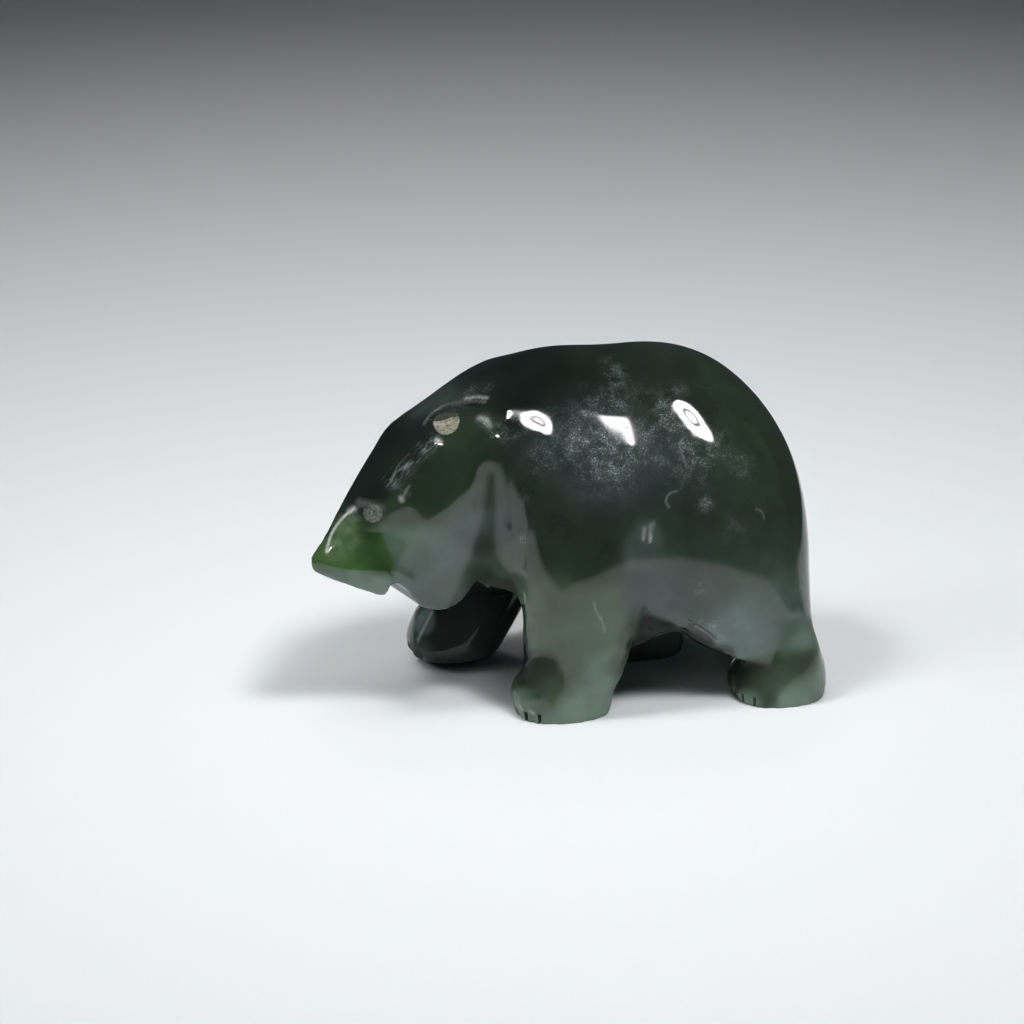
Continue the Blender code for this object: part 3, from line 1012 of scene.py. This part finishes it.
def paw_front(surface, middle):
    """The skin round the front of a paw, from its inner to its outer side."""
    outer = 1 if middle.y > 0 else -1
    spots = []
    for turn in np.linspace(SLIT_FIRST, SLIT_LAST, SLIT_SPOTS):
        angle = math.radians(turn)
        way = Vector((-math.cos(angle), outer * math.sin(angle), 0))
        spots.append(surface.tree.ray_cast(middle, way)[0])
    return spots if outer > 0 else spots[::-1]


def toe_slits(surface):
    """The cutters for the slits of all four paws."""
    tree = slit_tree()
    soles = [Vector(mount["pos_m"]) / MM for mount in frame["record"]["mounts"]]
    middles = [sole + Vector((0, 0, SLIT_TRACE)) for sole in soles] + [RAISED_PAW]
    cutters = []
    for middle in middles:
        mesh = bpy.data.meshes.new("paw_front")
        spots = paw_front(surface, middle)
        pairs = [(k, k + 1) for k in range(len(spots) - 1)]
        mesh.from_pydata([spot * MM for spot in spots], pairs, [])
        thing = linked("paw_front", mesh)
        live = thing.modifiers.new("slits", "NODES")
        live.node_group = tree
        sizes = {
            "Count": SLIT_COUNT,
            "Width": SLIT_WIDTH * MM,
            "Depth": SLIT_DEPTH * MM,
            "Height": SLIT_HEIGHT * MM,
        }
        for entry in tree.interface.items_tree:
            if entry.name in sizes:
                live[entry.identifier] = sizes[entry.name]
        cutters.append(plain_mesh(thing))
    return cutters


# The stone

# Its hues where it is green, cool, and in the thin muzzle, where the hue is a painted glow of light
# shining through
GREEN_HUE = (0.58, 1.0, 0.52, 1)
COOL_HUE = (0.72, 1.0, 0.96, 1)
MUZZLE_GLOW_HUE = (0.45, 1.0, 0.29, 1)
# The colours of the muzzle's pale cloud, the scuffs with their painted glints, strewn dots, the worn
# edges with their painted glints, and drilled floors
MUZZLE_PALE = (0.15, 0.215, 0.115, 1)
SCUFF_AND_GLINT_PALE = (0.28, 0.34, 0.335, 1)
DOTTED = (0.42, 0.47, 0.40, 1)
SHINING_WEAR_AND_GLINT = (0.85, 0.88, 0.84, 1)
FROSTED_GREY = (0.21, 0.250, 0.205, 1)
FROSTED_WARM = (0.365, 0.350, 0.275, 1)
# Patterns: the patches' size in millimetres, detail, roughness, and the noise's values where the
# pattern starts and where it is full
CLOUDS = (11.0, 3.0, 0.5, 0.30, 0.70)
WISPS = (4.0, 4.0, 0.5, 0.30, 0.75)
MILK = (1.5, 5.0, 0.7, 0.38, 0.66)
SPECKS = (0.20, 3.0, 0.7, 0.52, 0.64)
STREWN = (6.0, 2.0, 0.5, 0.40, 0.60)
DOTS = (0.32, 3.0, 0.75, 0.71, 0.77)
STREAKS = (0.28, 3.0, 0.7, 0.50, 0.66)
GRAINS = (0.30, 3.0, 0.8, 0.35, 0.65)
SMUDGES = (6.0, 2.0, 0.5, 0.35, 0.70)
# The wisps' turn and stretch, and those of the brow's scratches, which run along their band
WISPS_TURN = (0.4, 0.7, 0.2)
WISPS_STRETCH = (1, 2.2, 1)
BAND_TURN = Vector((7.0, 1.5, 6.5)).to_track_quat("Z", "Y").to_euler()
BAND_STRETCH = (1, 1, 7)
# The green's strength: everywhere, and what clouds and wisps add
GREEN_SHARES = (0.72, 0.35, 0.30)
# The strength of the scuffs with their painted glints: everywhere, and what milky flaws and the
# specks in them add
SCUFF_AND_GLINT_SHARES = (0.04, 0.16, 1.3)
# The same for the muzzle's cloud with its milk, the worn edges and painted glints with their
# streaks, and the drilled floors with their grains
CLOUD_SHARES = (0.35, 0.5)
WORN_AND_GLINT_SHARES = (0.55, 0.45)
FROST_SHARES = (0.35, 0.9)
DOTS_SHOW = 0.7
SCRATCHES_SHOW = 0.7
# The polish's roughness: everywhere, and what smudges, scuffs and dots add
POLISH_SHARES = (0.05, 0.04, 0.08, 0.2)
MATTE_ROUGHNESS = 0.8
MATTE_SHINE = 0.2
REFRACTION = 1.62
# A face with more frost than this is one of a drilled hollow
FROST_LEAST = 0.01


def blended(shares, *patterns):
    """The first share, and each pattern times its own."""
    total = shares[0]
    for share, pattern in zip(shares[1:], patterns):
        total = total + pattern * share
    return total


def jade():
    material = bpy.data.materials.new("jade")
    material.use_nodes = True
    net = Net(material.node_tree)
    place = net.node("ShaderNodeTexCoord", out="Object")
    # The stone itself, whose green value holds painted light, shade and reflections
    clouds = net.pattern(place, *CLOUDS)
    wisps = net.pattern(net.turned(place, WISPS_TURN, WISPS_STRETCH), *WISPS)
    hue = net.mix(net.attribute("cool"), GREEN_HUE, COOL_HUE)
    # The thin muzzle's hue is a painted glow of light shining through it
    hue = net.mix(net.attribute("muzzle"), hue, MUZZLE_GLOW_HUE)
    colour = net.scaled(hue, net.attribute("green") * blended(GREEN_SHARES, clouds, wisps))
    # Milky flaws, scuffs and specks, with painted glints of the lamps round the highlights
    milk = net.pattern(place, *MILK)
    specks = net.pattern(place, *SPECKS)
    scuffs_and_glints = net.attribute("haze_and_glints") * blended(SCUFF_AND_GLINT_SHARES, milk, milk * specks)
    colour = net.mix(scuffs_and_glints, colour, SCUFF_AND_GLINT_PALE)
    dots = net.pattern(place, *DOTS) * net.pattern(place, *STREWN)
    colour = net.mix(dots * DOTS_SHOW, colour, DOTTED)
    lined = net.turned(place, BAND_TURN, BAND_STRETCH, "TEXTURE")
    streaks = net.pattern(lined, *STREAKS)
    colour = net.mix(net.attribute("scratches") * streaks * SCRATCHES_SHOW, colour, SCUFF_AND_GLINT_PALE)
    # The pale cloud in the thin muzzle, and the worn edges and chips with the painted glints among
    # them
    cloud = net.attribute("cloud") * blended(CLOUD_SHARES, milk)
    colour = net.mix(cloud, colour, MUZZLE_PALE)
    colour = net.mix(net.attribute("worn_and_glints") * blended(WORN_AND_GLINT_SHARES, streaks), colour, SHINING_WEAR_AND_GLINT)
    # Drilled hollows, frosted, with painted shade on their walls and under their rims
    frost_and_shade = net.attribute("frost_and_shade")
    drilled = frost_and_shade > FROST_LEAST
    ground = net.mix(net.attribute("warm"), FROSTED_GREY, FROSTED_WARM)
    grains = net.pattern(place, *GRAINS)
    colour = net.mix(drilled, colour, net.scaled(ground, frost_and_shade * blended(FROST_SHARES, grains)))
    smudges = net.pattern(place, *SMUDGES)
    sockets = {"Base Color": colour, "IOR": REFRACTION}
    shine = {"Roughness": blended(POLISH_SHARES, smudges, scuffs_and_glints, dots)}
    polished = net.node("ShaderNodeBsdfPrincipled", {}, sockets | shine)
    shine = {"Roughness": MATTE_ROUGHNESS, "Specular IOR Level": MATTE_SHINE}
    matte = net.node("ShaderNodeBsdfPrincipled", {}, sockets | shine)
    # Matte where drilled, and where the polish is dulled as painted shade
    matte_and_shade = net.attribute("dull_and_shade").high(drilled)
    both = net.node("ShaderNodeMixShader", {}, {0: matte_and_shade, 1: polished, 2: matte})
    net.node("ShaderNodeOutputMaterial", {}, {"Surface": both})
    return material


def in_hollow(places, mouth, way, radius, depth):
    """Which places lie in a drilled hollow, and which of them on its floor."""
    out = np.array(way.normalized())
    off = places - np.array(mouth)
    up = off @ out
    aside = np.linalg.norm(off - up[:, None] * out, axis=1)
    inside = (aside < radius * HOLLOW_ROUND) & (abs(up) < HOLLOW_HIGH * depth)
    return inside, inside & (abs(up + depth) < HOLLOW_FLOOR * depth)


def daubed(skin, surface, rows):
    """The strongest of some soft round daubs at each point."""
    made = np.zeros(len(skin.points))
    for pixel, reach, strength in rows:
        made = np.maximum(made, strength * bell(skin.away(surface.seen(pixel)[0]), reach))
    return made


def stroked(skin, surface, rows):
    """The strongest of some soft strokes along traced lines at each point."""
    made = np.zeros(len(skin.points))
    for pixels, width, strength in rows:
        far, side, along = traced(surface, pixels).measure(skin.points)
        made = np.maximum(made, strength * bell(far, width))
    return made


def toned_with_painted_light(skin, surface):
    """The stone's green value and coolness at each point, with the painted light and shade of the
    tone table in it.
    """
    low, high = REST_GREEN_WITH_PAINTED_BOUNCE
    weights = np.full(len(skin.points), REST_SHARE)
    green = weights * (low + (high - low) * smooth_step(skin.points[:, 2], *REST_Z))
    cool = weights * REST_COOL
    for pixel, value, tint, reach in TONES_AND_PAINTED_LIGHT:
        off = skin.away(surface.seen(pixel)[0])
        weight = (TONE_REACH / reach) ** 2 * bell(off, reach)
        weights += weight
        green += weight * value
        cool += weight * tint
    return green / weights, cool / weights


def note_skin(bear, surface):
    """Keeps the stone's colour with its painted light, its scuffs and worn edges with their painted
    glints, and its matte places of painted shade, for the material.
    """
    skin = Skin(bear)
    green, cool = toned_with_painted_light(skin, surface)
    dull_and_shade = stroked(skin, surface, DULL_SHADE_LINES)
    for outline, soft, strength in DULL_AND_SHADE_AREAS:
        dull_and_shade = np.maximum(dull_and_shade, strength * area(skin, surface, outline, soft))
    keep(skin.mesh, "green", green)
    keep(skin.mesh, "cool", cool)
    keep(skin.mesh, "dull_and_shade", dull_and_shade)
    keep(skin.mesh, "haze_and_glints", daubed(skin, surface, HAZE_AND_PAINTED_GLINTS))
    keep(skin.mesh, "cloud", daubed(skin, surface, MUZZLE_CLOUD))
    keep(skin.mesh, "muzzle", area(skin, surface, MUZZLE_GLOW_PATCH, PATCH_SOFT))
    keep(skin.mesh, "worn_and_glints", stroked(skin, surface, WORN_AND_GLINT_LINES))
    keep(skin.mesh, "scratches", stroked(skin, surface, SCRATCHES))


def note_hollows(mesh):
    """Keeps how pale each face of a drilled hollow is, with painted shade on its walls and under its
    rim, and which of them are of a warm colour.
    """
    centres = np.empty(len(mesh.polygons) * 3, np.float32)
    mesh.polygons.foreach_get("center", centres)
    centres = centres.reshape(-1, 3) / MM
    frost_and_shade = np.zeros(len(centres))
    for mouth, way, radius, depth in HOLLOWS:
        lower = (centres - np.array(mouth))[:, 2] / radius
        shade = DRILLED_TOP_SHADE + (1 - DRILLED_TOP_SHADE) * smooth_step(-lower, *DRILLED_SHADE_FADE)
        inside, floor = in_hollow(centres, mouth, way, radius, depth)
        frost_and_shade = np.where(floor, shade, np.where(inside, DRILLED_WALL_SHADE, frost_and_shade))
    keep(mesh, "frost_and_shade", frost_and_shade, "FACE")
    keep(mesh, "warm", (frost_and_shade > 0) & (centres[:, 2] > EAR_HEIGHT), "FACE")


# The stage

# How far the floor goes, between what reaches its bright part fades in the polish, and its colour
FLOOR_REACH_M = 3.0
POOL_FADE_M = (0.112, 0.142)
FLOOR_SIDES = 96
FLOOR_PALE = (0.785, 0.812, 0.830, 1)
# Three lamps that the polish reflects: degrees to the right of square on, degrees up, width
LAMPS = [(-7.5, 35.0, 0.20), (15.0, 35.0, 0.08), (40.5, 35.0, 0.17)]
LAMP_REACH_M = 0.9
LAMP_HEIGHT_M = 0.36
LAMP_GLOW = 25.0
LAMP_AIM_M = (0, 0, 0.022)
LAMP_MIDDLE = (0.5, 0.5, 0)
# A lamp's glow has a darker ring: where it starts and ends, from its middle to its rim, how soft
# its edges are, and how much it takes
LAMP_RING = (0.30, 0.52)
RING_SOFT = 0.08
RING_LOSS = 0.97
# Soft lights that only light surfaces and are not seen in the polish: degrees to the right of
# square on, degrees up, power in watts
SOFT_LIGHTS = [
    (32.0, 62.0, 0.348),
    (-80.0, 62.0, 0.194),
    (-80.0, 40.0, 0.091),
    (0.0, 62.0, 0.053),
    (180.0, 62.0, 0.046),
    (-40.0, 40.0, 0.015),
]
SOFT_REACH_M = 0.9
SOFT_SIZE_M = (0.2, 0.2)
SOFT_SPREAD = 50.0
# The light overhead: its height, its size, its spread in degrees and its power
TOP_REACH_M = 0.5
TOP_SIZE_M = (0.15, 0.15)
TOP_SPREAD = 70.0
TOP_POWER = 0.053
ROOM = (0.03, 0.034, 0.042, 1)


def area_light(name, turn, rise, reach, size, power, aim=(0, 0, 0)):
    """A round light that looks at a point from some degrees round and up."""
    turn = math.radians(turn)
    rise = math.radians(rise)
    flat = math.cos(rise)
    way = Vector((math.sin(turn) * flat, -math.cos(turn) * flat, math.sin(rise)))
    data = bpy.data.lights.new(name, "AREA")
    data.shape = "ELLIPSE"
    data.size, data.size_y = size
    data.energy = power
    light = bpy.data.objects.new(name, data)
    place = Matrix.Translation(Vector(aim) + way * reach)
    light.matrix_world = place @ way.to_track_quat("Z", "Y").to_matrix().to_4x4()
    light.visible_camera = False
    bpy.context.scene.collection.objects.link(light)
    return light


def add_floor():
    """A pale floor. The polish reflects its bright part round the bear, which fades outwards."""
    card = bpy.data.materials.new("pale_card")
    card.use_nodes = True
    net = Net(card.node_tree)
    matte = net.node("ShaderNodeBsdfDiffuse", {}, {"Color": FLOOR_PALE})
    place = net.node("ShaderNodeTexCoord", out="Object")
    length = dict(operation="LENGTH")
    off = net.node("ShaderNodeVectorMath", length, {0: place}, out="Value")
    polish = net.node("ShaderNodeLightPath", out="Is Glossy Ray")
    gone = off.step(*POOL_FADE_M) * polish
    nothing = net.node("ShaderNodeBsdfTransparent")
    mixed = net.node("ShaderNodeMixShader", {}, {0: gone, 1: matte, 2: nothing})
    net.node("ShaderNodeOutputMaterial", {}, {"Surface": mixed})
    bm = bmesh.new()
    bmesh.ops.create_circle(bm, cap_ends=True, segments=FLOOR_SIDES, radius=FLOOR_REACH_M)
    floor = from_bmesh("floor", bm)
    floor.data.materials.append(card)


def only_first(lamp):
    """The lamp's glow is left out of light that has already bounced off the floor."""
    lamp.data.use_nodes = True
    net = Net(lamp.data.node_tree)
    bounces = net.node("ShaderNodeLightPath", out="Diffuse Depth")
    across = net.node("ShaderNodeNewGeometry", out="Parametric")
    distance = dict(operation="DISTANCE")
    off = net.node("ShaderNodeVectorMath", distance, {0: across, 1: LAMP_MIDDLE}, out="Value") * 2.0
    start, end = LAMP_RING
    ring = off.step(start, start + RING_SOFT) - off.step(end - RING_SOFT, end)
    strength = (1 - bounces).high(0.0) * (1 - ring * RING_LOSS)
    glow = net.node("ShaderNodeEmission", {}, {"Strength": strength})
    net.node("ShaderNodeOutputLight", {}, {"Surface": glow})


def add_stage():
    add_floor()
    for number, (turn, rise, width) in enumerate(LAMPS):
        # An oval lamp's power for its glow
        power = LAMP_GLOW * math.pi * math.pi / 4 * width * LAMP_HEIGHT_M
        size = (width, LAMP_HEIGHT_M)
        lamp = area_light(f"lamp_{number}", turn, rise, LAMP_REACH_M, size, power, LAMP_AIM_M)
        lamp.visible_diffuse = False
        only_first(lamp)
    softs = []
    for turn, rise, power in SOFT_LIGHTS:
        softs.append((turn, rise, SOFT_REACH_M, SOFT_SIZE_M, power, SOFT_SPREAD))
    softs.append((0, 90, TOP_REACH_M, TOP_SIZE_M, TOP_POWER, TOP_SPREAD))
    for number, (*row, spread) in enumerate(softs):
        soft = area_light(f"soft_{number}", *row)
        soft.visible_glossy = False
        soft.data.spread = math.radians(spread)
    world = bpy.data.worlds.new("dark_room")
    world.use_nodes = True
    world.node_tree.nodes["Background"].inputs[0].default_value = ROOM
    world.cycles_visibility.diffuse = False
    bpy.context.scene.world = world
    bpy.context.scene.view_settings.view_transform = "Standard"


def main():
    add_camera()
    bear = fine_copy("jade_bear")
    skin = Skin(bear)
    smooth_skin(skin)
    surface = Surface(skin)
    skin = smaller_squares(bear, finer_places(skin, surface))
    carve_skin(skin, surface)
    keep_in_box(skin)
    skin.look()
    surface = Surface(skin)
    carved(bear, [drill(*row) for row in HOLLOWS] + toe_slits(surface))
    note_skin(bear, surface)
    note_hollows(bear.data)
    bear.data.shade_smooth()
    bear.data.set_sharp_from_angle(angle=math.radians(SHARP_ANGLE))
    bear.data.materials.clear()
    bear.data.materials.append(jade())
    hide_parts("jade_bear")
    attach(bear, "root")
    add_stage()


main()
